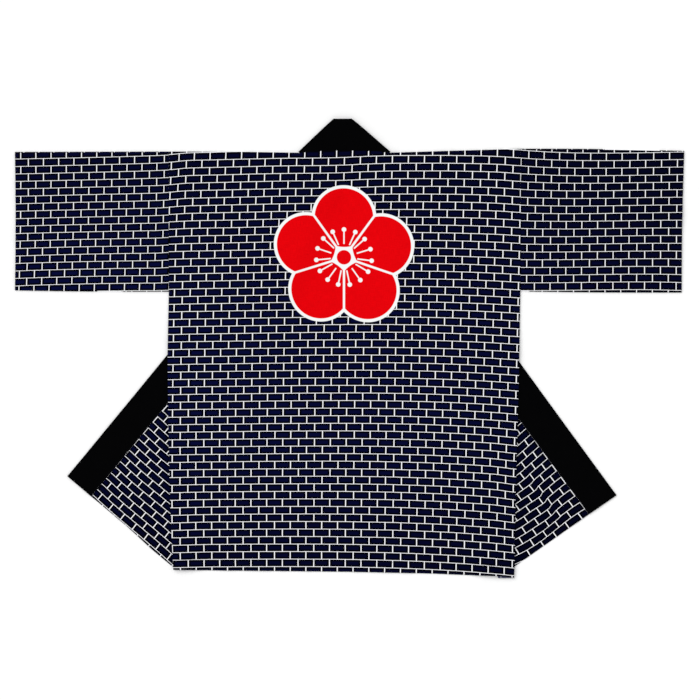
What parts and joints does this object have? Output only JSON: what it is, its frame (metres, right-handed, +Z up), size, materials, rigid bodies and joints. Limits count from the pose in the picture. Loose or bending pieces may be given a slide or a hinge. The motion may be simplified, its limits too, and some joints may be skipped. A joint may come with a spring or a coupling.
{
  "type": "happi coat",
  "caption": "Short open-fronted cotton festival coat with square sleeves and a banded collar, laid face down with both front edges folded out to the sides.",
  "frame": {"origin": "middle of the laid coat's outline, on the surface it lies on", "axes": "+X from the wearer's left cuff to the right one, +Y from the hem to the neck, +Z up from the surface"},
  "size_m": [1.3, 0.8932, 0.008],
  "materials": {
    "printed_cotton": "matt plain-weave cotton, navy with a white brick lattice and a red flower on the back",
    "collar_cotton": "matt black plain-weave cotton"
  },
  "bodies": {
    "root": {"back": "printed_cotton", "front_left": "printed_cotton", "front_right": "printed_cotton", "sleeve_left": "printed_cotton", "sleeve_right": "printed_cotton", "collar_neck": "collar_cotton", "collar_left": "collar_cotton", "collar_right": "collar_cotton"}
  },
  "joints": []
}
